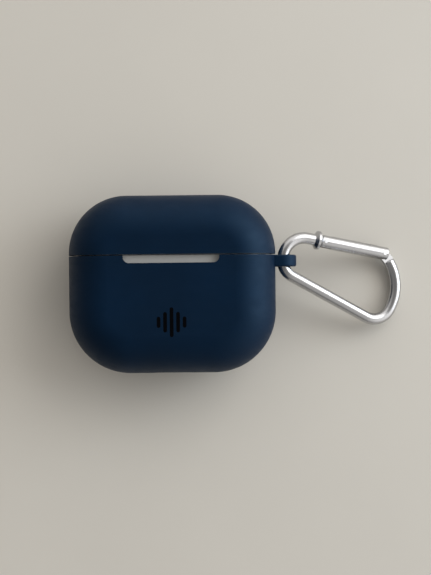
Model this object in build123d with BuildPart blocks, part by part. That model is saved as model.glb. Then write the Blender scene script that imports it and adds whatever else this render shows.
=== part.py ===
from build123d import *
import os
from math import acos, asin, atan2, cos, degrees, hypot, radians, sin, sqrt, tan

# Wireless earbuds case in a soft cover, lying on its back, with a carabiner through its side lug.
# +X points to the lug side, +Y to the top of the lid, +Z out of the front face.
# The origin is the middle of the cover's flat back. All sizes are in millimetres.

# Driving dimensions -----------------------------------------------------------------------------
cover_width = 57.0          # silicone cover, outside, along X
cover_length = 49.0         # along Y
cover_depth = 24.0          # along Z
top_corner_r = 16.0         # corners seen from the front
bottom_corner_r = 17.0
edge_r = 11.0               # rounding between the front or back face and the sides
lid_height = 16.6           # seam to the top of the lid
cover_wall = 1.3
cover_gap = 0.05            # between the cover and the hard case
cover_seam = 0.3            # slit between body cover and lid cover
shell_wall = 1.25           # hard case
shell_seam = 0.2
tray_gap = 0.1              # inner mouldings to the hard case
liner_wall = 0.9
deck_wall = 1.15            # tray deck round the earbuds
well_wall = 0.8
bud_gap = 0.4               # earbud to its well

window_width = 26.0         # opening under the seam at the front of the body cover
window_height = 2.2
window_end_r = 1.6
port_cut_width = 13.0       # opening at the bottom of the body cover
port_cut_height = 5.5
hinge_cut_width = 27.0      # opening at the back of both covers
hinge_cut_height = 6.4
groove_half_angle = 53.0    # back seam of the covers opens as a V about the hinge axis

mark_bars = (3.0, 5.5, 8.0, 5.5, 3.0)   # heights of the sound-wave mark's bars
mark_bar_width = 1.0
mark_pitch = 1.75
mark_y = -10.3
mark_depth = 0.4

lug_reach = 2.0             # hard wall of the cover to the middle of the lug's hole
lug_thickness = 3.25
lug_ring = 1.65             # ring of silicone round the hole
lug_drop = 0.15             # top of the lug below the seam
lug_play = 0.6              # hole to carabiner rod
lug_edge_r = 0.5

barrel_r = 1.15             # hinge
hinge_pin_r = 0.5
hinge_play = 0.08
hinge_width = 24.0
body_knuckle = 5.0
lid_knuckle = 4.1
knuckle_gap = 0.2
leaf_thickness = 0.6
leaf_length = 5.1
spring_wire_r = 0.15

button_r = 3.0              # setup button on the back
button_gap = 0.15
button_travel = 0.3
button_y = -6.0

head_rx = 8.2               # earbud head, along X
head_r = 7.6                # and across
head_x = 13.2
head_lift = 2.6             # middle of the head above the seam
nozzle_r = 3.0
nozzle_reach = 9.6          # middle of the head to the nozzle's tip
stem_r = 2.8
stem_x = 6.5
stem_length = 24.5          # middle of the head to the stem's end
bud_wall = 0.9

rod_r = 1.6                 # carabiner
gate_r = 1.85
gate_bore_r = 1.2
nose_bend_r = 6.3           # bend from the lug to the nose
heel_bend_r = 4.75          # bend from the lug to the spine
spine_angle = -27.8         # direction of the straight spine
spine_length = 25.2
lower_bend_r = 5.5
side_bend_r = 13.0
side_bend_start = -31.4     # where the lower bend passes into the side bend
pivot_angle = 45.0          # gate pivot, on the side bend
gate_length = 19.3          # pivot to the gate's free end
gate_tail = 1.4             # pivot to the gate's other end
gate_end_gap = 0.45
gate_pin_r = 0.6

# Places worked out from them --------------------------------------------------------------------
mid_z = cover_depth / 2
seam_y = cover_length / 2 - lid_height
shell_inset = cover_wall + cover_gap
inner_inset = shell_inset + shell_wall
fit_inset = inner_inset + tray_gap
back_in = fit_inset                                   # z of the inside of the hard back wall
front_in = cover_depth - fit_inset
bottom_in = -cover_length / 2 + fit_inset
hinge_z = shell_inset
head_y = seam_y + head_lift
stem_end = head_y - stem_length
deck_top = seam_y - shell_seam / 2
well_grow = bud_gap + well_wall
lug_hole_r = rod_r + lug_play
lug_x = cover_width / 2 + lug_reach
lug_y = seam_y - lug_drop - lug_thickness / 2


def pebble(inset):
    """The case's outer form, drawn in by inset on every side."""
    with BuildPart() as form:
        with BuildSketch(Plane.XY.offset(inset)) as outline:
            Rectangle(cover_width - 2 * inset, cover_length - 2 * inset)
            rows = outline.vertices().group_by(Axis.Y)
            fillet(rows[-1], radius=top_corner_r - inset)
            rows = outline.vertices().group_by(Axis.Y)
            fillet(rows[0], radius=bottom_corner_r - inset)
        extrude(amount=cover_depth - 2 * inset)
        flats = form.faces().filter_by(Axis.Z)
        fillet(flats.edges(), radius=edge_r - inset)
    return form.part


def slab(y_low, y_high):
    """Everything between two heights along Y."""
    with BuildPart() as band:
        with BuildSketch(Plane.XZ.offset(-y_low)):
            with Locations((0, mid_z)):
                Rectangle(2 * cover_width, 2 * cover_depth)
        extrude(amount=y_low - y_high)
    return band.part


def block(x_low, x_high, y_low, y_high, z_low, z_high):
    """A plain box between two corners."""
    with BuildPart() as box:
        with BuildSketch(Plane.XY.offset(z_low)):
            with Locations(((x_low + x_high) / 2, (y_low + y_high) / 2)):
                Rectangle(x_high - x_low, y_high - y_low)
        extrude(amount=z_high - z_low)
    return box.part


def export(piece, name):
    """Labels a finished piece and writes it."""
    piece.part.label = name
    export_step(piece.part, f"parts/{name}.step")


os.makedirs("parts", exist_ok=True)
above_cover_seam = slab(seam_y + cover_seam / 2, cover_length)
below_cover_seam = slab(-cover_length, seam_y - cover_seam / 2)
above_shell_seam = slab(seam_y + shell_seam / 2, cover_length)
below_shell_seam = slab(-cover_length, seam_y - shell_seam / 2)
cover_outside = pebble(0)
cover_inside = pebble(cover_wall)
shell_outside = pebble(shell_inset)
shell_inside = pebble(inner_inset)
fit_space = pebble(fit_inset)

# Silicone cover ---------------------------------------------------------------------------------
groove_z = -1.0
groove_half = (hinge_z - groove_z) * tan(radians(groove_half_angle))
with BuildPart() as back_groove:
    with BuildSketch(Plane.YZ.offset(-cover_width / 2)):
        with BuildLine():
            Polyline(
                (seam_y, hinge_z),
                (seam_y - groove_half, groove_z),
                (seam_y + groove_half, groove_z),
                close=True,
            )
        make_face()
    extrude(amount=cover_width)
    with BuildSketch(Plane.XY.offset(groove_z)):
        with Locations((0, seam_y)):
            RectangleRounded(hinge_cut_width, hinge_cut_height, hinge_cut_height / 2 - 0.2)
    extrude(amount=shell_inset - groove_z)

lug_ring_r = lug_hole_r + lug_ring
lug_root_x = cover_width / 2 - cover_wall
with BuildPart() as lug:
    with BuildSketch(Plane.XZ.offset(-lug_y - lug_thickness / 2)):
        with Locations(((lug_root_x + lug_x) / 2, mid_z)):
            Rectangle(lug_x - lug_root_x, 2 * lug_ring_r)
        with Locations((lug_x, mid_z)):
            Circle(lug_ring_r)
    extrude(amount=lug_thickness)
    rims = lug.edges().filter_by(Axis.Y, reverse=True).filter_by(Axis.Z, reverse=True)
    fillet(rims.group_by(Axis.X)[-1], radius=lug_edge_r)
    with BuildSketch(Plane.XZ.offset(-lug_y - lug_thickness)):
        with Locations((lug_x, mid_z)):
            Circle(lug_hole_r)
    extrude(amount=2 * lug_thickness, mode=Mode.SUBTRACT)

mark_x = [(index - (len(mark_bars) - 1) / 2) * mark_pitch for index in range(len(mark_bars))]
with BuildPart() as mark_inlay:
    with BuildSketch(Plane.XY.offset(cover_depth - mark_depth)):
        for bar_x, bar_height in zip(mark_x, mark_bars):
            with Locations((bar_x, mark_y)):
                SlotOverall(bar_height, mark_bar_width, rotation=90)
    extrude(amount=mark_depth)
export(mark_inlay, "mark_inlay")

button_cut_r = button_r + 1.6
with BuildPart() as cover_body:
    add(cover_outside)
    add(lug.part)
    add(cover_inside, mode=Mode.SUBTRACT)
    add(below_cover_seam, mode=Mode.INTERSECT)
    add(back_groove.part, mode=Mode.SUBTRACT)
    add(mark_inlay.part, mode=Mode.SUBTRACT)
    with BuildSketch(Plane.XY.offset(mid_z)) as window:
        with Locations((0, seam_y - window_height / 2)):
            Rectangle(window_width, window_height)
        low_corners = window.vertices().group_by(Axis.Y)[0]
        fillet(low_corners, radius=window_end_r)
    extrude(amount=cover_depth, mode=Mode.SUBTRACT)
    with BuildSketch(Plane.XZ):
        with Locations((0, mid_z)):
            RectangleRounded(port_cut_width, port_cut_height, port_cut_height / 2 - 0.2)
    extrude(amount=cover_length, mode=Mode.SUBTRACT)
    with BuildSketch(Plane.XY.offset(-1)):
        with Locations((0, button_y)):
            Circle(button_cut_r)
    extrude(amount=mid_z, mode=Mode.SUBTRACT)
export(cover_body, "cover_body")

with BuildPart() as cover_lid:
    add(cover_outside)
    add(cover_inside, mode=Mode.SUBTRACT)
    add(above_cover_seam, mode=Mode.INTERSECT)
    add(back_groove.part, mode=Mode.SUBTRACT)
export(cover_lid, "cover_lid")

# Hard case --------------------------------------------------------------------------------------
port_width = 8.9
port_height = 3.2
port_length = 7.0
port_wall = 0.3
port_y = -cover_length / 2 + shell_inset + 0.3        # mouth of the receptacle
light_r = 0.9
light_y = seam_y - 7.0
hinge_notch_width = hinge_width + 1.0
hinge_notch_half = barrel_r + 0.45
leaf_z = back_in + 0.05
with BuildPart() as hinge_notch:
    add(block(
        -hinge_notch_width / 2, hinge_notch_width / 2,
        seam_y - hinge_notch_half, seam_y + hinge_notch_half,
        hinge_z - barrel_r, leaf_z + leaf_thickness + 0.2,
    ))

with BuildPart() as case_shell:
    add(shell_outside)
    add(shell_inside, mode=Mode.SUBTRACT)
    add(below_shell_seam, mode=Mode.INTERSECT)
    add(hinge_notch.part, mode=Mode.SUBTRACT)
    with BuildSketch(Plane.XZ):
        with Locations((0, mid_z)):
            RectangleRounded(port_width + 0.1, port_height + 0.1, port_height / 2 - 0.05)
    extrude(amount=cover_length, mode=Mode.SUBTRACT)
    with BuildSketch():
        with Locations((0, button_y)):
            Circle(button_r + button_gap)
    extrude(amount=mid_z, mode=Mode.SUBTRACT)
    with BuildSketch(Plane.XY.offset(mid_z)):
        with Locations((0, light_y)):
            Circle(light_r)
    extrude(amount=mid_z, mode=Mode.SUBTRACT)
export(case_shell, "case_shell")

with BuildPart() as lid_shell:
    add(shell_outside)
    add(shell_inside, mode=Mode.SUBTRACT)
    add(above_shell_seam, mode=Mode.INTERSECT)
    add(hinge_notch.part, mode=Mode.SUBTRACT)
export(lid_shell, "lid_shell")

with BuildPart() as status_light:
    with BuildSketch(Plane.XY.offset(cover_depth - inner_inset)):
        with Locations((0, light_y)):
            Circle(light_r)
    extrude(amount=shell_wall)
export(status_light, "status_light")

# Magnets that hold the lid shut -----------------------------------------------------------------
magnet_width = 3.6
magnet_length = 2.0
magnet_depth = 2.4
magnet_x = 2.2
magnet_z = front_in - 1.0 - magnet_depth
lid_magnet_y = seam_y + 0.6
body_magnet_y = deck_top - deck_wall - magnet_length - 0.05
for name, low_y in (("lid_magnets", lid_magnet_y), ("body_magnets", body_magnet_y)):
    with BuildPart() as magnets:
        with BuildSketch(Plane.XY.offset(magnet_z)):
            with Locations((-magnet_x, low_y + magnet_length / 2), (magnet_x, low_y + magnet_length / 2)):
                Rectangle(magnet_width, magnet_length)
        extrude(amount=magnet_depth)
    export(magnets, name)
    if name == "lid_magnets":
        lid_magnet_pair = magnets.part

# Lid liner, with a block that holds the magnets -------------------------------------------------
magnet_block_x = magnet_x + magnet_width / 2 + 0.4
magnet_block = block(
    -magnet_block_x, magnet_block_x,
    seam_y + 0.3, lid_magnet_y + magnet_length + 0.5,
    magnet_z - 0.4, front_in - liner_wall / 2,
)
liner_window = block(
    -hinge_width / 2 + knuckle_gap, hinge_width / 2 - knuckle_gap,
    0, seam_y + leaf_length + 1.0,
    0, leaf_z + leaf_thickness + 0.6,
)
with BuildPart() as lid_liner:
    add(fit_space)
    add(pebble(fit_inset + liner_wall), mode=Mode.SUBTRACT)
    add(magnet_block)
    add(slab(seam_y + 0.3, cover_length), mode=Mode.INTERSECT)
    add(lid_magnet_pair, mode=Mode.SUBTRACT)
    add(liner_window, mode=Mode.SUBTRACT)
export(lid_liner, "lid_liner")

# Earbuds and the tray that holds them -----------------------------------------------------------
def bud_form(side, grow):
    """Head, nozzle and stem of one earbud, grown on every side."""
    centre = (side * head_x, head_y, mid_z)
    with BuildPart() as form:
        with BuildSketch(Plane(centre)):
            Ellipse(head_rx + grow, head_r + grow)
            split(bisect_by=Plane.XZ)
        revolve(axis=Axis(centre, (1, 0, 0)))
        with BuildSketch(Plane(centre, x_dir=(0, 1, 0), z_dir=(side, 0, 0))):
            Circle(nozzle_r + grow)
        extrude(amount=nozzle_reach + grow)
        with BuildSketch(Plane.XZ.offset(-head_y)):
            with Locations((side * stem_x, mid_z)):
                Circle(stem_r + grow)
        extrude(amount=stem_length + grow)
    return form.part


tray_wells = [bud_form(side, well_grow) for side in (-1, 1)]
bud_spaces = [bud_form(side, bud_gap) for side in (-1, 1)]
pin_r = 0.5
pin_pitch = 2.2
pin_places = [(side * stem_x + way * pin_pitch / 2, mid_z) for side in (-1, 1) for way in (-1, 1)]
with BuildPart() as case_tray:
    add(slab(deck_top - deck_wall, deck_top))
    add(tray_wells)
    add(slab(-cover_length, deck_top), mode=Mode.INTERSECT)
    add(fit_space, mode=Mode.INTERSECT)
    add(bud_spaces, mode=Mode.SUBTRACT)
    add(block(
        -hinge_width, hinge_width,
        -cover_length, cover_length,
        0, leaf_z + leaf_thickness + 0.15,
    ), mode=Mode.SUBTRACT)
    with BuildSketch(Plane.XZ.offset(-stem_end)):
        with Locations(*pin_places):
            Circle(pin_r + 0.15)
    extrude(amount=2 * well_grow, mode=Mode.SUBTRACT)
export(case_tray, "case_tray")

driver_r = 4.8
driver_depth = 2.4
cell_r = 4.2
cell_depth = 3.4
vent_r = 1.0
vent_x = head_x - 3.2
pad_r = 0.6
for side, hand in ((-1, "left"), (1, "right")):
    bud_outside = bud_form(side, 0)
    bud_inside = bud_form(side, -bud_wall)
    outward = Plane((side * head_x, head_y, mid_z), x_dir=(0, 1, 0), z_dir=(side, 0, 0))
    half_gap = 0.02
    with BuildPart() as ear_half:
        with BuildSketch(outward.offset(half_gap)):
            Rectangle(4 * head_r, 4 * head_r)
        extrude(amount=2 * nozzle_reach)
    with BuildPart() as stem_half:
        with BuildSketch(outward.offset(-half_gap)):
            Rectangle(4 * stem_length, 4 * head_r)
        extrude(amount=-2 * nozzle_reach)

    with BuildPart() as ear_shell:
        add(bud_outside)
        add(bud_inside, mode=Mode.SUBTRACT)
        add(ear_half.part, mode=Mode.INTERSECT)
        with BuildSketch(outward):
            Circle(nozzle_r - bud_wall)
        extrude(amount=2 * nozzle_reach, mode=Mode.SUBTRACT)
    export(ear_shell, f"{hand}_ear_shell")

    with BuildPart() as stem_shell:
        add(bud_outside)
        add(bud_inside, mode=Mode.SUBTRACT)
        add(stem_half.part, mode=Mode.INTERSECT)
        with BuildSketch(Plane.XY.offset(mid_z)):
            with Locations((side * vent_x, head_y)):
                Circle(vent_r)
        extrude(amount=mid_z, mode=Mode.SUBTRACT)
        with BuildSketch(Plane.XZ.offset(-stem_end - bud_wall)):
            with Locations((side * stem_x - pin_pitch / 2, mid_z), (side * stem_x + pin_pitch / 2, mid_z)):
                Circle(pad_r)
        extrude(amount=bud_wall, mode=Mode.SUBTRACT)
    export(stem_shell, f"{hand}_stem_shell")

    with BuildPart() as nozzle_mesh:
        with BuildSketch(outward.offset(nozzle_reach - 0.5)):
            Circle(nozzle_r - bud_wall)
        extrude(amount=0.25)
    export(nozzle_mesh, f"{hand}_nozzle_mesh")

    vent_surface = head_r * sqrt(1 - ((head_x - vent_x) / head_rx) ** 2)
    with BuildPart() as vent_mesh:
        with BuildSketch(Plane.XY.offset(mid_z + vent_surface - 0.7)):
            with Locations((side * vent_x, head_y)):
                Circle(vent_r)
        extrude(amount=0.25)
    export(vent_mesh, f"{hand}_vent_mesh")

    with BuildPart() as driver:
        with BuildSketch(outward.offset(1.2)):
            Circle(driver_r)
        extrude(amount=driver_depth)
    export(driver, f"{hand}_driver")

    with BuildPart() as bud_board:
        with BuildSketch(outward.offset(0.2)):
            Circle(driver_r)
        extrude(amount=0.6)
    export(bud_board, f"{hand}_bud_board")

    with BuildPart() as bud_cell:
        with BuildSketch(outward.offset(-0.2)):
            Circle(cell_r)
        extrude(amount=-cell_depth)
    export(bud_cell, f"{hand}_bud_cell")

    with BuildPart() as charge_pads:
        with BuildSketch(Plane.XZ.offset(-stem_end - bud_wall)):
            with Locations((side * stem_x - pin_pitch / 2, mid_z), (side * stem_x + pin_pitch / 2, mid_z)):
                Circle(pad_r)
        extrude(amount=bud_wall)
    export(charge_pads, f"{hand}_charge_pads")

# Hinge: two leaves, a pin and a torsion spring --------------------------------------------------
def leaf(side, knuckle_spans, bore_r):
    """One hinge leaf: a plate inside the back wall with knuckles round the hinge axis."""
    plate_low = seam_y + side * (barrel_r - 0.25)
    plate_high = seam_y + side * (barrel_r - 0.25 + leaf_length)
    reach = max(abs(place) for span in knuckle_spans for place in span)
    with BuildPart() as made:
        add(block(
            -reach, reach,
            min(plate_low, plate_high), max(plate_low, plate_high),
            leaf_z, leaf_z + leaf_thickness,
        ))
        for span_low, span_high in knuckle_spans:
            with BuildSketch(Plane.YZ.offset(span_low)):
                with Locations((seam_y, hinge_z)):
                    Circle(barrel_r)
                with Locations((seam_y + side * barrel_r / 2, (hinge_z + leaf_z + leaf_thickness) / 2)):
                    Rectangle(barrel_r, leaf_z + leaf_thickness - hinge_z)
                with Locations((seam_y, hinge_z)):
                    Circle(bore_r, mode=Mode.SUBTRACT)
            extrude(amount=span_high - span_low)
        with BuildSketch(Plane.YZ.offset(-hinge_width)):
            with Locations((seam_y, hinge_z)):
                Circle(bore_r)
        extrude(amount=2 * hinge_width, mode=Mode.SUBTRACT)
    return made


outer_knuckle = (hinge_width / 2 - body_knuckle, hinge_width / 2)
inner_high = outer_knuckle[0] - knuckle_gap
inner_knuckle = (inner_high - lid_knuckle, inner_high)
body_spans = [outer_knuckle, (-outer_knuckle[1], -outer_knuckle[0])]
lid_spans = [inner_knuckle, (-inner_knuckle[1], -inner_knuckle[0])]
export(leaf(-1, body_spans, hinge_pin_r), "hinge_body_leaf")
export(leaf(1, lid_spans, hinge_pin_r + hinge_play), "hinge_lid_leaf")

with BuildPart() as hinge_pin:
    with BuildSketch(Plane.YZ.offset(-hinge_width / 2)):
        with Locations((seam_y, hinge_z)):
            Circle(hinge_pin_r)
    extrude(amount=hinge_width)
export(hinge_pin, "hinge_pin")

coil_half = inner_knuckle[0] - knuckle_gap - spring_wire_r
coil_r = barrel_r - 2 * spring_wire_r
coil_turns = 10
with BuildPart() as hinge_spring:
    with BuildLine() as coil:
        Helix(
            pitch=2 * coil_half / coil_turns,
            height=2 * coil_half,
            radius=coil_r,
            center=(-coil_half, seam_y, hinge_z),
            direction=(1, 0, 0),
        )
    with BuildSketch(Plane(origin=coil.line @ 0, z_dir=coil.line % 0)):
        Circle(spring_wire_r)
    sweep()
export(hinge_spring, "hinge_spring")

# Setup button and what is behind it -------------------------------------------------------------
flange_thickness = 0.4
button_back = hinge_z + 0.05
button_front = inner_inset + 0.05 + flange_thickness
with BuildPart() as setup_button:
    with BuildSketch(Plane.XY.offset(button_back)):
        with Locations((0, button_y)):
            Circle(button_r)
    extrude(amount=button_front - button_back)
    fillet(setup_button.edges().sort_by(Axis.Z)[0], radius=0.2)
    with BuildSketch(Plane.XY.offset(button_front - flange_thickness)):
        with Locations((0, button_y)):
            Circle(button_r + 0.8)
    extrude(amount=flange_thickness)
export(setup_button, "setup_button")

board_width = 30.0
board_low_y = -18.2
board_high_y = 0.0
board_z = 5.4
board_thickness = 0.8
switch_size = 3.0
switch_front = board_z
switch_back = button_front + button_travel + 0.1
with BuildPart() as button_switch:
    with BuildSketch(Plane.XY.offset(switch_back + 0.35)):
        with Locations((0, button_y)):
            Rectangle(switch_size, switch_size)
    extrude(amount=switch_front - switch_back - 0.35)
    with BuildSketch(Plane.XY.offset(switch_back)):
        with Locations((0, button_y)):
            Circle(switch_size / 4)
    extrude(amount=0.35)
export(button_switch, "button_switch")

with BuildPart() as main_board:
    with BuildSketch(Plane.XY.offset(board_z)):
        with Locations((0, (board_low_y + board_high_y) / 2)):
            RectangleRounded(board_width, board_high_y - board_low_y, 3.0)
    extrude(amount=board_thickness)
export(main_board, "main_board")

chip_height = 0.9
with BuildPart() as board_components:
    with BuildSketch(Plane.XY.offset(board_z + board_thickness)):
        with Locations((-9.0, -5.0), (8.5, -6.0)):
            Rectangle(5.0, 5.0)
        with GridLocations(20.0, 3.2, 2, 2):
            with Locations((0, -12.0)):
                Rectangle(2.0, 1.2)
        with Locations((0, -3.0)):
            Rectangle(3.2, 2.5)
    extrude(amount=chip_height)
export(board_components, "board_components")

coil_inner_r = button_r + 1.6
coil_outer_r = 7.4
coil_thickness = 0.4
ferrite_thickness = 0.3
for name, low_z, thickness, extra in (
    ("charging_coil", back_in, coil_thickness, 0),
    ("ferrite_sheet", back_in + coil_thickness, ferrite_thickness, 0.2),
):
    with BuildPart() as ring:
        with BuildSketch(Plane.XY.offset(low_z)):
            with Locations((0, button_y)):
                Circle(coil_outer_r + extra)
                Circle(coil_inner_r, mode=Mode.SUBTRACT)
        extrude(amount=thickness)
    export(ring, name)

cell_width = 32.0
cell_low_y = -14.5
cell_high_y = 0.5
cell_z = mid_z + stem_r + well_grow + 0.6
cell_thickness = 4.0
with BuildPart() as battery_cell:
    with BuildSketch(Plane.XY.offset(cell_z)):
        with Locations((0, (cell_low_y + cell_high_y) / 2)):
            RectangleRounded(cell_width, cell_high_y - cell_low_y, 2.0)
    extrude(amount=cell_thickness)
    fillet(battery_cell.edges().filter_by(Plane.XY), radius=0.8)
export(battery_cell, "battery_cell")

lead_width = 2.4
with BuildPart() as battery_lead:
    add(block(
        -lead_width / 2, lead_width / 2,
        -7.0, -6.7,
        board_z + board_thickness, cell_z,
    ))
export(battery_lead, "battery_lead")

# Charge port ------------------------------------------------------------------------------------
with BuildPart() as charge_port:
    with BuildSketch(Plane.XZ.offset(-port_y)):
        with Locations((0, mid_z)):
            RectangleRounded(port_width, port_height, port_height / 2 - 0.05)
    extrude(amount=-port_length)
    with BuildSketch(Plane.XZ.offset(-port_y)):
        with Locations((0, mid_z)):
            RectangleRounded(
                port_width - 2 * port_wall, port_height - 2 * port_wall, port_height / 2 - port_wall - 0.05
            )
    extrude(amount=-port_length + port_wall, mode=Mode.SUBTRACT)
export(charge_port, "charge_port")

with BuildPart() as port_tongue:
    add(block(
        -port_width / 2 + 1.1, port_width / 2 - 1.1,
        port_y + 0.8, port_y + port_length - port_wall,
        mid_z - 0.35, mid_z + 0.35,
    ))
export(port_tongue, "port_tongue")

port_board_z = mid_z - port_height / 2 - 0.8
with BuildPart() as port_board:
    add(block(
        -port_width / 2, port_width / 2,
        bottom_in + 1.6, port_y + port_length,
        port_board_z, mid_z - port_height / 2,
    ))
export(port_board, "port_board")

# Contact blocks, their spring pins and flex strips ----------------------------------------------
contact_top = stem_end - well_grow - 0.1
contact_depth = 3.4
contact_half_width = 1.75
with BuildPart() as contact_blocks:
    with BuildSketch(Plane.XZ.offset(-contact_top)):
        with Locations((-stem_x, mid_z), (stem_x, mid_z)):
            Rectangle(2 * contact_half_width, 5.0)
    extrude(amount=contact_depth)
    with BuildSketch(Plane.XZ.offset(-contact_top)):
        with Locations(*pin_places):
            Circle(pin_r)
    extrude(amount=contact_depth - 0.5, mode=Mode.SUBTRACT)
export(contact_blocks, "contact_blocks")

with BuildPart() as contact_pins:
    with BuildSketch(Plane.XZ.offset(0.05 - stem_end)):
        with Locations(*pin_places):
            Circle(pin_r)
    extrude(amount=stem_end - 0.05 - contact_top + contact_depth - 0.5)
export(contact_pins, "contact_pins")

with BuildPart() as contact_flex:
    for side in (-1, 1):
        add(block(
            side * stem_x - 1.0, side * stem_x + 1.0,
            contact_top - 1.6, contact_top - 1.4,
            board_z + board_thickness, mid_z - 2.5,
        ))
export(contact_flex, "contact_flex")

# Carabiner, in its own plane: u away from the lug, v along +Y, turned down to the ground ----------
spine = radians(spine_angle)
side_start = radians(side_bend_start)
pivot_turn = radians(pivot_angle)
nose_centre = (nose_bend_r + 0.1, 0)
heel_centre = (heel_bend_r + 0.1, 0)
spine_start = (heel_centre[0] + heel_bend_r * sin(spine), -heel_bend_r * cos(spine))
spine_end = (spine_start[0] + spine_length * cos(spine), spine_start[1] + spine_length * sin(spine))
lower_centre = (spine_end[0] - lower_bend_r * sin(spine), spine_end[1] + lower_bend_r * cos(spine))
side_centre = (
    lower_centre[0] + (lower_bend_r - side_bend_r) * cos(side_start),
    lower_centre[1] + (lower_bend_r - side_bend_r) * sin(side_start),
)
pivot = (side_centre[0] + side_bend_r * cos(pivot_turn), side_centre[1] + side_bend_r * sin(pivot_turn))
pivot_from_nose = Vector(pivot[0] - nose_centre[0], pivot[1] - nose_centre[1])
nose_turn = atan2(pivot_from_nose.Y, pivot_from_nose.X) + acos(nose_bend_r / pivot_from_nose.length)
nose_end = (nose_centre[0] + nose_bend_r * cos(nose_turn), nose_bend_r * sin(nose_turn))
far_reach = side_centre[0] + side_bend_r
tilt = asin((mid_z - rod_r) / far_reach)
eye_plane = Plane(
    origin=(lug_x, lug_y, mid_z), x_dir=(cos(tilt), 0, -sin(tilt)), z_dir=(sin(tilt), 0, cos(tilt))
)


def eye_point(place):
    """A point of the carabiner's plane, in the case's frame."""
    return eye_plane.from_local_coords(Vector(place[0], place[1], 0))


nose_aim = Vector(nose_end[0] - pivot[0], nose_end[1] - pivot[1], 0)
gate_direction = nose_aim.normalized()
along_gate = eye_plane.from_local_coords(gate_direction) - eye_plane.origin
gate_plane = Plane(origin=eye_point(pivot), x_dir=along_gate, z_dir=eye_plane.z_dir)

collar_thickness = 1.6           # collar at the nose, facing the gate's free end
collar_height = 5.2
collar_rim = 0.7
blade_thickness = 1.1            # tang at the pivot and claw at the nose
blade_play = 0.2                 # blade to its slot in the gate
tang_r = 1.45
tang_slot_length = 2.3
claw_height = 2.2
claw_reach = 2.5
claw_slot_length = 3.4
catch_back = 1.1                 # middle of the catch pin to the gate's free end
hinge_rivet_r = 0.7
notch_play = 0.2
rod_end_angle = pivot_angle - degrees((hypot(gate_r, gate_tail) + gate_end_gap) / side_bend_r)
rod_end = (
    side_centre[0] + side_bend_r * cos(radians(rod_end_angle)),
    side_centre[1] + side_bend_r * sin(radians(rod_end_angle)),
)
collar_u = gate_length + gate_end_gap
catch_u = gate_length - catch_back
rod_root = (
    pivot[0] + gate_direction.X * (collar_u + collar_rim),
    pivot[1] + gate_direction.Y * (collar_u + collar_rim),
)
with BuildPart() as carabiner_body:
    with BuildLine(eye_plane) as rod_path:
        Line(rod_root, nose_end)
        CenterArc(nose_centre, nose_bend_r, degrees(nose_turn), 180 - degrees(nose_turn))
        CenterArc(heel_centre, heel_bend_r, 180, 90 + spine_angle)
        Line(spine_start, spine_end)
        CenterArc(lower_centre, lower_bend_r, 270 + spine_angle, side_bend_start - spine_angle + 90)
        CenterArc(side_centre, side_bend_r, side_bend_start, rod_end_angle - side_bend_start)
    rod_line = rod_path.wires()[0]
    with BuildSketch(Plane(origin=rod_line @ 0, z_dir=rod_line % 0)):
        Circle(rod_r)
    sweep(path=rod_line)
    rod_ends = carabiner_body.faces().filter_by(GeomType.PLANE)
    fillet(rod_ends.edges().sort_by(Axis.X)[-1], radius=0.35)
    with BuildSketch(gate_plane):
        with BuildLine():
            Polyline(
                (collar_u, 0),
                (collar_u, collar_height / 2),
                (collar_u + collar_rim, collar_height / 2),
                (collar_u + collar_thickness, rod_r - 0.2),
                (collar_u + collar_thickness, 0),
                close=True,
            )
        make_face()
    revolve(axis=Axis(gate_plane.origin, gate_plane.x_dir))
    with BuildSketch(eye_plane.offset(-blade_thickness / 2)):
        with Locations(((pivot[0] + rod_end[0]) / 2, (pivot[1] + rod_end[1]) / 2)):
            SlotCenterToCenter(
                Vector(rod_end[0] - pivot[0], rod_end[1] - pivot[1]).length,
                2 * tang_r,
                rotation=(pivot_angle + rod_end_angle) / 2 + 90,
            )
        with Locations(pivot):
            Circle(hinge_rivet_r + hinge_play, mode=Mode.SUBTRACT)
    extrude(amount=blade_thickness)
    with BuildSketch(gate_plane.offset(-blade_thickness / 2)):
        with Locations((collar_u - claw_reach / 2 + 0.25, 0)):
            Rectangle(claw_reach + 0.5, claw_height)
        with Locations((catch_u, claw_height / 2)):
            SlotOverall(
                claw_height + 2 * gate_pin_r + 2 * notch_play,
                2 * (gate_pin_r + notch_play),
                rotation=90,
                mode=Mode.SUBTRACT,
            )
    extrude(amount=blade_thickness)
export(carabiner_body, "carabiner_body")

tube_start = Plane(
    origin=gate_plane.from_local_coords((-gate_tail, 0, 0)), x_dir=gate_plane.y_dir, z_dir=gate_plane.x_dir
)
bore_length = 10.0
gate_slot_width = blade_thickness + 2 * blade_play
with BuildPart() as carabiner_gate:
    with BuildSketch(tube_start):
        Circle(gate_r)
    extrude(amount=gate_length + gate_tail)
    chamfer(carabiner_gate.edges().filter_by(GeomType.CIRCLE), length=0.3)
    with BuildSketch(tube_start):
        Circle(gate_bore_r)
    extrude(amount=gate_tail + tang_slot_length + bore_length, mode=Mode.SUBTRACT)
    with BuildSketch(gate_plane.offset(-gate_slot_width / 2)):
        with Locations((tang_slot_length - gate_r, 0)):
            Rectangle(2 * gate_r, 4 * gate_r)
        with Locations((-gate_r, 0)):
            Rectangle(2 * gate_r, 4 * gate_r)
        with Locations((gate_length, 0)):
            Rectangle(2 * claw_slot_length, 4 * gate_r)
    extrude(amount=gate_slot_width, mode=Mode.SUBTRACT)
    with BuildSketch(gate_plane.offset(-gate_r)):
        Circle(hinge_rivet_r)
        with Locations((catch_u, 0)):
            Circle(gate_pin_r)
    extrude(amount=2 * gate_r, mode=Mode.SUBTRACT)
export(carabiner_gate, "carabiner_gate")

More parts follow.
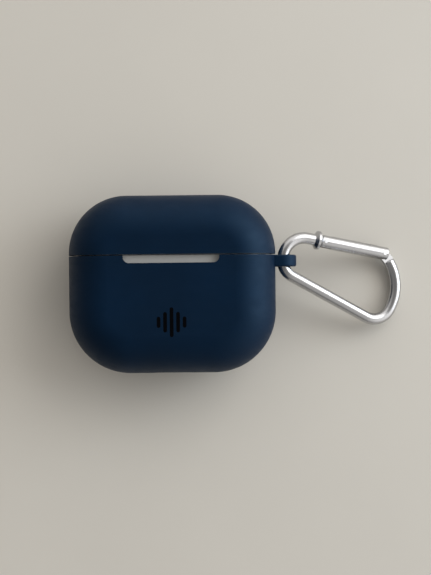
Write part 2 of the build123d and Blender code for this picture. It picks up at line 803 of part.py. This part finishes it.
for name, place_u, pin_radius in (
    ("gate_hinge_pin", 0, hinge_rivet_r),
    ("gate_catch_pin", catch_u, gate_pin_r),
):
    with BuildPart() as pin:
        with BuildSketch(gate_plane.offset(-gate_r)):
            with Locations((place_u, 0)):
                Circle(pin_radius)
        extrude(amount=2 * gate_r)
        fillet(pin.edges().filter_by(GeomType.CIRCLE), radius=0.15)
    export(pin, name)

plunger_length = 2.4
gate_spring_r = 0.8
gate_wire_r = 0.18
gate_turns = 12
plunger_start = tube_start.offset(gate_tail + tang_r + 0.3)
with BuildPart() as gate_plunger:
    with BuildSketch(plunger_start):
        Circle(gate_bore_r - 0.1)
    extrude(amount=plunger_length)
export(gate_plunger, "gate_plunger")

spring_low = gate_tail + tang_r + 0.3 + plunger_length + gate_wire_r
spring_high = gate_tail + tang_slot_length + bore_length - gate_wire_r
spring_start = tube_start.offset(spring_low)
with BuildPart() as gate_spring:
    with BuildLine() as coil:
        Helix(
            pitch=(spring_high - spring_low) / gate_turns,
            height=spring_high - spring_low,
            radius=gate_spring_r,
            center=spring_start.origin,
            direction=gate_plane.x_dir,
        )
    with BuildSketch(Plane(origin=coil.line @ 0, z_dir=coil.line % 0)):
        Circle(gate_wire_r)
    sweep()
export(gate_spring, "gate_spring")
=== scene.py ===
from math import radians

import bpy
from bpy.props import FloatProperty, FloatVectorProperty, PointerProperty
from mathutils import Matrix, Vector


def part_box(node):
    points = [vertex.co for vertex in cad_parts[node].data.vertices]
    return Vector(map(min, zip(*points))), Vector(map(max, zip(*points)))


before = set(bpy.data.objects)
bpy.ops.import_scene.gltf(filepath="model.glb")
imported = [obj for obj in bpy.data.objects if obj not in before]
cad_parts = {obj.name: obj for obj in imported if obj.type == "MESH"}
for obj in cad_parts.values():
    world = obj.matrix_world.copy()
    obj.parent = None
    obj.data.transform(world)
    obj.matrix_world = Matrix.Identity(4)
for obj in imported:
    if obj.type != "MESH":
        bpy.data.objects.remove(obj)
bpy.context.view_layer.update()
MM = 0.001

bl_info = {
    "name": "Earbuds Case",
    "version": (1, 0, 0),
    "blender": (4, 5, 0),
    "location": "3D View > Sidebar > Earbuds Case",
    "description": "Covered earbuds case with a carabiner, built round a packed frame",
    "category": "Object",
}


# Sizes and colours a user would change ------------------------------------------------------------
def length(name, description, default):
    """A length in metres, given in millimetres."""
    return FloatProperty(
        name=name, description=description, default=default * MM, min=0.0, unit="LENGTH", precision=5
    )


def colour(name, description, default):
    """A linear colour."""
    return FloatVectorProperty(
        name=name, description=description, default=default, size=3, min=0.0, max=1.0, subtype="COLOR"
    )


class CaseSizes(bpy.types.PropertyGroup):
    """Sizes of the stage and of the finest texture."""
    floor_side: length("Table top", "Side of the table top", 1600.0)
    camera_height: length("Camera height", "Camera above the middle of the case", 400.0)
    seen_length: length("Seen length", "Length of the table top in view at that depth", 159.3)
    aim_x: length("Aim across", "Middle of the view, to the right of the case", 11.9)
    aim_y: FloatProperty(
        name="Aim along", description="Middle of the view, towards the lid",
        default=-1.1 * MM, unit="LENGTH", precision=5,
    )
    silicone_grain: length("Silicone grain", "Size of the cover's fine grain", 0.11)
    lint: length("Lint", "Size of the specks on the cover", 0.43)


class CaseColours(bpy.types.PropertyGroup):
    """Colours of the finishes."""
    silicone: colour("Silicone", "Cover", (0.0004, 0.0070, 0.0225))
    mark: colour("Mark", "Inlaid mark", (0.0002, 0.0003, 0.0008))
    # Hard plastic: a white plastic darkened to grey as painted shade, standing in for the shade in the
    # recess seen through the cover's window
    plastic: colour("Hard plastic", "Case and earbuds", (0.47, 0.47, 0.455))
    metal: colour("Bright metal", "Carabiner", (0.50, 0.50, 0.51))
    steel: colour("Steel", "Hinge and pins", (0.56, 0.56, 0.57))
    floor: colour("Floor", "Table top", (0.612, 0.582, 0.528))


# Shader arithmetic --------------------------------------------------------------------------------
MIX_FACTOR, MIX_LOW, MIX_HIGH = 0, 6, 7     # a Mix node's sockets when it mixes colours
MIX_COLOUR = 2


class Field:
    """A shader socket. Arithmetic on it adds the Math nodes."""

    def __init__(self, tree, socket):
        self.tree = tree
        self.socket = socket

    def math(self, operation, first, second):
        node = self.tree.nodes.new("ShaderNodeMath")
        node.operation = operation
        for slot, value in enumerate((first, second)):
            if isinstance(value, Field):
                self.tree.links.new(value.socket, node.inputs[slot])
            else:
                node.inputs[slot].default_value = value
        return Field(self.tree, node.outputs[0])

    def __add__(self, other):
        return self.math("ADD", self, other)

    def __radd__(self, other):
        return self.math("ADD", other, self)

    def __rsub__(self, other):
        return self.math("SUBTRACT", other, self)

    def __mul__(self, other):
        return self.math("MULTIPLY", self, other)

    def __rmul__(self, other):
        return self.math("MULTIPLY", other, self)

    def above(self, low, high):
        """0 below low, 1 above high, smooth between."""
        node = self.tree.nodes.new("ShaderNodeMapRange")
        node.interpolation_type = "SMOOTHSTEP"
        self.tree.links.new(self.socket, node.inputs["Value"])
        node.inputs["From Min"].default_value = low
        node.inputs["From Max"].default_value = high
        return Field(self.tree, node.outputs["Result"])


class Finish:
    """A material with one main shader, filled in by the methods below."""

    def __init__(self, name, **fixed):
        self.material = bpy.data.materials.new(name)
        self.material.use_nodes = True
        self.tree = self.material.node_tree
        self.tree.nodes.clear()
        self.shader = self.node("ShaderNodeBsdfPrincipled", **fixed)
        output = self.node("ShaderNodeOutputMaterial")
        self.tree.links.new(self.shader.outputs[0], output.inputs["Surface"])
        self.place = self.field(self.node("ShaderNodeTexCoord"), "Object")

    def node(self, kind, settings=None, **inputs):
        """Adds a node: its settings first, then its sockets' values or links."""
        made = self.tree.nodes.new(kind)
        for key, value in (settings or {}).items():
            setattr(made, key, value)
        for key, value in inputs.items():
            self.feed(made, key.replace("_", " "), value)
        return made

    def feed(self, node, socket, value):
        target = node.inputs[socket]
        if isinstance(value, Field):
            self.tree.links.new(value.socket, target)
        else:
            target.default_value = value

    def field(self, node, output=0):
        return Field(self.tree, node.outputs[output])

    def noise(self, scale, detail=3.0, rough=0.55, place=None):
        """Noise over the piece; scale is in bumps to the metre."""
        made = self.node(
            "ShaderNodeTexNoise", Vector=place or self.place, Scale=scale, Detail=detail, Roughness=rough
        )
        return self.field(made, "Fac")

    def stretched(self, stretch):
        """The piece's coordinates, stretched along an axis for a brushed grain."""
        return self.field(self.node("ShaderNodeMapping", Vector=self.place, Scale=stretch), "Vector")

    def mix(self, mask, low, high):
        """A colour between two others."""
        made = self.node("ShaderNodeMix", {"data_type": "RGBA"})
        self.tree.links.new(mask.socket, made.inputs[MIX_FACTOR])
        for slot, value in ((MIX_LOW, low), (MIX_HIGH, high)):
            if isinstance(value, Field):
                self.tree.links.new(value.socket, made.inputs[slot])
            else:
                made.inputs[slot].default_value = (*value, 1.0)
        return Field(self.tree, made.outputs[MIX_COLOUR])

    def bump(self, height, depth, strength=1.0, onto=None):
        """Raises the surface by height times depth."""
        made = self.node("ShaderNodeBump", Height=height, Distance=depth, Strength=strength)
        if onto is not None:
            self.tree.links.new(onto.socket, made.inputs["Normal"])
        return self.field(made, "Normal")

    def finish(self, colour, roughness, normal, **others):
        """Feeds the shader's varying sockets."""
        varying = {"Base Color": colour, "Roughness": roughness, "Normal": normal}
        for socket, value in {**varying, **others}.items():
            self.feed(self.shader, socket, value)
        return self.material


def tint(colour, factor):
    """A colour made lighter or darker."""
    return tuple(min(1.0, channel * factor) for channel in colour)


def silicone(colour, sizes):
    """Moulded silicone: satin, with a very fine grain, faint hand marks and a little lint."""
    made = Finish("silicone", Specular_IOR_Level=0.25, Specular_Tint=(0.35, 0.65, 1.0, 1.0))
    cloud = made.noise(55.0, 4.0, 0.6)
    grain = made.noise(1 / sizes.silicone_grain, 2.0, 0.6)
    smear = made.noise(180.0, 5.0, 0.65, made.stretched((1.0, 2.6, 1.4)))
    lint = made.noise(1 / sizes.lint, 1.0, 0.4).above(0.795, 0.83)
    base = made.mix(cloud.above(0.3, 0.7), tint(colour, 0.86), tint(colour, 1.12))
    base = made.mix(lint * 0.35, base, tint(colour, 6.0))
    roughness = 0.47 + smear.above(0.35, 0.75) * 0.10 + grain * 0.05
    normal = made.bump(grain, 0.00002, 0.5, made.bump(cloud, 0.0003, 0.12))
    return made.finish(base, roughness, normal)


def inlay(colour):
    """Black moulded inlay, smoother than the silicone round it."""
    made = Finish("mark", Specular_IOR_Level=0.06)
    grain = made.noise(6000.0, 2.0)
    base = made.mix(made.noise(400.0).above(0.35, 0.7), colour, tint(colour, 1.8))
    return made.finish(base, 0.33 + grain * 0.12, made.bump(grain, 0.00001, 0.4))


def moulded(name, colour, roughness, coat=0.0, shift=0.06):
    """Injection-moulded plastic with faint flow marks and fine scuffs."""
    made = Finish(name, Coat_Roughness=0.08)
    flow = made.noise(70.0, 3.0)
    scuff = made.noise(1400.0, 3.0, 0.7, made.stretched((1.0, 6.0, 1.0))).above(0.62, 0.8)
    base = made.mix(flow.above(0.3, 0.7), tint(colour, 1 - shift), colour)
    made.shader.inputs["Coat Weight"].default_value = coat
    return made.finish(base, roughness + flow * 0.05 + scuff * 0.10, made.bump(flow, 0.0002, 0.06))


def metal(name, colour, roughness, stretch, scale, depth, dull=0.12):
    """Drawn or brushed metal: a grain along the piece and soft tarnish."""
    made = Finish(name, Metallic=1.0)
    grain = made.noise(scale, 2.0, 0.6, made.stretched(stretch))
    tarnish = made.noise(160.0, 5.0, 0.6).above(0.42, 0.72)
    base = made.mix(tarnish, colour, tint(colour, 1 - dull))
    roughness = roughness + grain * 0.10 + tarnish * 0.06
    return made.finish(base, roughness, made.bump(grain, depth, 0.25))


def circuit_board(colour):
    """Solder mask over copper tracks, with bare pads."""
    made = Finish("board", Coat_Weight=0.4, Coat_Roughness=0.15)
    cells = made.node(
        "ShaderNodeTexVoronoi", {"distance": "CHEBYCHEV", "feature": "F1"}, Vector=made.place, Scale=700.0
    )
    distance = made.field(cells, "Distance")
    tracks = distance.above(0.36, 0.42)
    pads = 1 - distance.above(0.09, 0.12)
    base = made.mix(tracks, tint(colour, 1.7), colour)
    base = made.mix(pads, base, (0.75, 0.52, 0.2))
    return made.finish(base, 0.42 - pads * 0.15, made.bump(tracks, 0.00002, 0.6), Metallic=pads)


def foil_pouch():
    """Laminated foil round a cell: silver, slightly wrinkled."""
    made = Finish("pouch", Metallic=0.85)
    wrinkle = made.noise(420.0, 4.0, 0.6)
    base = made.mix(wrinkle.above(0.3, 0.7), (0.50, 0.50, 0.52), (0.64, 0.64, 0.66))
    return made.finish(base, 0.30 + wrinkle * 0.16, made.bump(wrinkle, 0.0002, 0.5))


def woven_mesh(name, colour):
    """Fine woven metal mesh over a dark hole."""
    made = Finish(name, Metallic=0.9)
    warp = made.node("ShaderNodeTexWave", {"bands_direction": "Y"}, Vector=made.place, Scale=900.0)
    weft = made.node("ShaderNodeTexWave", {"bands_direction": "Z"}, Vector=made.place, Scale=900.0)
    weave = made.field(warp, "Fac") * made.field(weft, "Fac")
    base = made.mix(weave.above(0.05, 0.35), tint(colour, 3.2), colour)
    return made.finish(base, 0.40 + weave * 0.2, made.bump(weave, 0.00004, 0.7))


def wound_copper():
    """Flat coil of enamelled copper turns about the coil's middle."""
    low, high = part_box("charging_coil")
    middle = (low + high) / 2
    made = Finish("copper", Metallic=0.9)
    centred = made.node("ShaderNodeMapping", Vector=made.place, Location=tuple(-middle))
    rings = made.node(
        "ShaderNodeTexWave",
        {"wave_type": "RINGS", "rings_direction": "Z"},
        Vector=made.field(centred, "Vector"), Scale=620.0,
    )
    turns = made.field(rings, "Fac")
    base = made.mix(turns, (0.28, 0.10, 0.03), (0.80, 0.40, 0.20))
    return made.finish(base, 0.38 - turns * 0.12, made.bump(turns, 0.00008, 0.8))


def amber_film():
    """Polyimide film with copper tracks showing through."""
    made = Finish("flex", Coat_Weight=0.5)
    tracks = made.node("ShaderNodeTexWave", {"bands_direction": "X"}, Vector=made.place, Scale=500.0)
    lines = made.field(tracks, "Fac").above(0.45, 0.6)
    base = made.mix(lines, (0.42, 0.20, 0.04), (0.62, 0.30, 0.10))
    return made.finish(base, 0.30 + lines * 0.1, made.bump(lines, 0.00002, 0.5))


def table_top(colour):
    """Painted board: off-white, nearly smooth, with a soft mottling."""
    made = Finish("table_top", Specular_IOR_Level=0.25)
    mottle = made.noise(14.0, 5.0, 0.6)
    grain = made.noise(2400.0, 3.0, 0.6)
    base = made.mix(mottle.above(0.25, 0.75), tint(colour, 0.985), tint(colour, 1.015))
    return made.finish(base, 0.55 + grain * 0.1, made.bump(grain, 0.00003, 0.25))


# Making and placing -------------------------------------------------------------------------------
def deselect():
    """Nothing selected, so that an operator acts on the next piece alone."""
    bpy.ops.object.select_all(action="DESELECT")


def coat(piece, material):
    """Gives a piece one finish all over."""
    piece.data.materials.clear()
    piece.data.materials.append(material)


def dress(material, *nodes):
    """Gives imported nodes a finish."""
    for name in nodes:
        coat(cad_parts[name], material)


# Pieces -------------------------------------------------------------------------------------------
class CASE_OT_hard_case(bpy.types.Operator):
    """Finishes of the hard case, its liner, tray, button and light"""
    bl_idname = "earcase.hard_case"
    bl_label = "Hard case"

    def execute(self, context):
        plastic = context.scene.case_colours.plastic
        # The case, liner and tray take the darkened plastic grey, which is painted shade over a white
        # plastic
        dress(moulded("case_plastic", plastic, 0.20, 0.6), "case_shell", "lid_shell", "setup_button")
        dress(moulded("liner_plastic", tint(plastic, 1.05), 0.34), "lid_liner", "case_tray")
        dress(moulded("light_pipe", (0.62, 0.68, 0.62), 0.12, 0.5), "status_light")
        return {"FINISHED"}


class CASE_OT_earbuds(bpy.types.Operator):
    """Finishes of the two earbuds and what is in them"""
    bl_idname = "earcase.earbuds"
    bl_label = "Earbuds"

    def execute(self, context):
        plastic = context.scene.case_colours.plastic
        # The earbuds take the darkened plastic grey lightened a little, so their white is still partly
        # painted shade
        shell = moulded("bud_plastic", tint(plastic, 1.1), 0.14, 0.7)
        mesh = woven_mesh("mesh", (0.03, 0.03, 0.033))
        can = metal("driver_metal", (0.42, 0.42, 0.44), 0.32, (1.0, 1.0, 1.0), 900.0, 0.00001)
        for hand in ("left", "right"):
            dress(shell, f"{hand}_ear_shell", f"{hand}_stem_shell")
            dress(mesh, f"{hand}_nozzle_mesh", f"{hand}_vent_mesh")
            dress(can, f"{hand}_driver")
        return {"FINISHED"}


class CASE_OT_electronics(bpy.types.Operator):
    """Finishes of the boards, cells, coil, port and contacts"""
    bl_idname = "earcase.electronics"
    bl_label = "Electronics"

    def execute(self, context):
        steel = context.scene.case_colours.steel
        black = moulded("black_plastic", (0.012, 0.012, 0.013), 0.45)
        gold = metal("gold", (0.83, 0.60, 0.24), 0.22, (1.0, 1.0, 1.0), 2500.0, 0.00001)
        port = metal("port_steel", tint(steel, 0.9), 0.28, (1.0, 9.0, 1.0), 1500.0, 0.00002)
        magnet = metal("magnet", (0.62, 0.61, 0.60), 0.16, (1.0, 1.0, 1.0), 900.0, 0.00001)
        dress(circuit_board((0.006, 0.07, 0.03)),
              "main_board", "port_board", "left_bud_board", "right_bud_board")
        dress(foil_pouch(), "battery_cell", "left_bud_cell", "right_bud_cell")
        dress(wound_copper(), "charging_coil")
        dress(moulded("ferrite", (0.02, 0.02, 0.022), 0.5), "ferrite_sheet")
        dress(amber_film(), "battery_lead", "contact_flex")
        dress(moulded("chips", (0.016, 0.016, 0.017), 0.55), "board_components")
        dress(black, "button_switch", "port_tongue", "contact_blocks")
        dress(gold, "contact_pins", "left_charge_pads", "right_charge_pads")
        dress(port, "charge_port")
        dress(magnet, "lid_magnets", "body_magnets")
        return {"FINISHED"}


class CASE_OT_hinge(bpy.types.Operator):
    """Finishes of the hinge leaves, pin and spring"""
    bl_idname = "earcase.hinge"
    bl_label = "Hinge"

    def execute(self, context):
        steel = context.scene.case_colours.steel
        leaf = metal("hinge_steel", steel, 0.30, (1.0, 14.0, 14.0), 500.0, 0.00002)
        wire = metal("spring_steel", tint(steel, 0.8), 0.24, (14.0, 1.0, 1.0), 700.0, 0.00001)
        dress(leaf, "hinge_body_leaf", "hinge_lid_leaf", "hinge_pin")
        dress(wire, "hinge_spring")
        return {"FINISHED"}


class CASE_OT_cover(bpy.types.Operator):
    """The silicone cover of the body and of the lid, and the inlaid mark"""
    bl_idname = "earcase.cover"
    bl_label = "Silicone cover"

    def execute(self, context):
        colours = context.scene.case_colours
        dress(silicone(colours.silicone, context.scene.case_sizes), "cover_body", "cover_lid")
        dress(inlay(colours.mark), "mark_inlay")
        return {"FINISHED"}


class CASE_OT_carabiner(bpy.types.Operator):
    """The carabiner's rod, gate, pins and gate spring"""
    bl_idname = "earcase.carabiner"
    bl_label = "Carabiner"

    def execute(self, context):
        colours = context.scene.case_colours
        bright = metal("carabiner_metal", colours.metal, 0.17, (1.0, 1.0, 1.0), 700.0, 0.00002, 0.08)
        pins = metal("pin_metal", tint(colours.steel, 1.1), 0.24, (1.0, 1.0, 1.0), 1800.0, 0.00001)
        dress(bright, "carabiner_body", "carabiner_gate")
        dress(pins, "gate_hinge_pin", "gate_catch_pin", "gate_plunger", "gate_spring")
        return {"FINISHED"}


# Stage --------------------------------------------------------------------------------------------
CAMERA_TURN = -0.6              # degrees
TABLE_GAP = 0.05 * MM           # keeps the table top clear of the case's back
FLOOR_CELLS = 12
NEAREST_SEEN = 0.01
WINDOW_POWER = 3.0
SKY_POWER = 1.6


def lamp(name, place, target, size, power, tone):
    """A soft rectangular light aimed at a point."""
    deselect()
    bpy.ops.object.light_add(type="AREA", location=place)
    made = bpy.context.object
    made.name = name
    made.data.shape = "RECTANGLE"
    made.data.size, made.data.size_y = size
    made.data.energy = power
    made.data.color = tone
    made.rotation_euler = (Vector(target) - Vector(place)).to_track_quat("-Z", "Y").to_euler()


def room():
    """The room's light: dim overhead, brighter low down and towards the window."""
    world = bpy.data.worlds.new("room")
    world.use_nodes = True
    tree = world.node_tree
    coords = tree.nodes.new("ShaderNodeTexCoord")
    parts = tree.nodes.new("ShaderNodeSeparateXYZ")
    tree.links.new(coords.outputs["Generated"], parts.inputs[0])
    east, north, up = (Field(tree, socket) for socket in parts.outputs)
    low = 1 - up.above(0.55, 0.97)
    windowward = (east * 0.75 + north * 0.5 + up * 0.3).above(-0.55, 0.8)
    strength = 0.25 + low * windowward * 1.26
    background = tree.nodes["Background"]
    background.inputs["Color"].default_value = (1.0, 0.975, 0.94, 1.0)
    tree.links.new(strength.socket, background.inputs["Strength"])
    return world


class CASE_OT_stage(bpy.types.Operator):
    """Pale table top, soft light and the camera"""
    bl_idname = "earcase.stage"
    bl_label = "Stage"

    def execute(self, context):
        scene = context.scene
        sizes = scene.case_sizes
        deselect()
        bpy.ops.mesh.primitive_grid_add(
            x_subdivisions=FLOOR_CELLS, y_subdivisions=FLOOR_CELLS, size=sizes.floor_side,
            location=(0, 0, -TABLE_GAP),
        )
        floor = context.object
        floor.name = "table_top"
        bpy.ops.object.transform_apply(location=True, rotation=True, scale=True)
        coat(floor, table_top(scene.case_colours.floor))

        lamp("window_light", (0.60, 0.42, 0.50), (0.03, 0, 0), (0.8, 0.5), WINDOW_POWER, (1.0, 0.99, 0.97))
        lamp("sky_light", (0.55, 0.12, 0.16), (0.02, 0, 0.01), (0.4, 0.3), SKY_POWER, (0.72, 0.86, 1.0))
        scene.world = room()

        cover_low, cover_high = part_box("cover_body")
        case_middle = (cover_low.z + cover_high.z) / 2
        deselect()
        bpy.ops.object.camera_add(
            location=(sizes.aim_x, sizes.aim_y, case_middle + sizes.camera_height),
            rotation=(0, 0, radians(CAMERA_TURN)),
        )
        camera = context.object
        camera.data.lens = camera.data.sensor_width * sizes.camera_height / sizes.seen_length
        camera.data.clip_start = NEAREST_SEEN
        scene.camera = camera
        scene.view_settings.view_transform = "Standard"
        return {"FINISHED"}


class CASE_PT_panel(bpy.types.Panel):
    """Lists the sizes, colours and pieces"""
    bl_idname = "CASE_PT_panel"
    bl_label = "Earbuds Case"
    bl_space_type = "VIEW_3D"
    bl_region_type = "UI"
    bl_category = "Earbuds Case"

    def draw(self, context):
        column = self.layout.column()
        for group in (context.scene.case_sizes, context.scene.case_colours):
            for name in group.__annotations__:
                column.prop(group, name)
        for made in PIECES:
            column.operator(made.bl_idname)


PIECES = (
    CASE_OT_stage,
    CASE_OT_cover,
    CASE_OT_hard_case,
    CASE_OT_earbuds,
    CASE_OT_electronics,
    CASE_OT_hinge,
    CASE_OT_carabiner,
)
CLASSES = (CaseSizes, CaseColours, *PIECES, CASE_PT_panel)


def register():
    for made in CLASSES:
        bpy.utils.register_class(made)
    bpy.types.Scene.case_sizes = PointerProperty(type=CaseSizes)
    bpy.types.Scene.case_colours = PointerProperty(type=CaseColours)


def unregister():
    del bpy.types.Scene.case_colours
    del bpy.types.Scene.case_sizes
    for made in reversed(CLASSES):
        bpy.utils.unregister_class(made)


def main():
    """Makes every piece in order."""
    register()
    for made in PIECES:
        group, name = made.bl_idname.split(".")
        getattr(getattr(bpy.ops, group), name)()


if __name__ == "__main__":
    main()
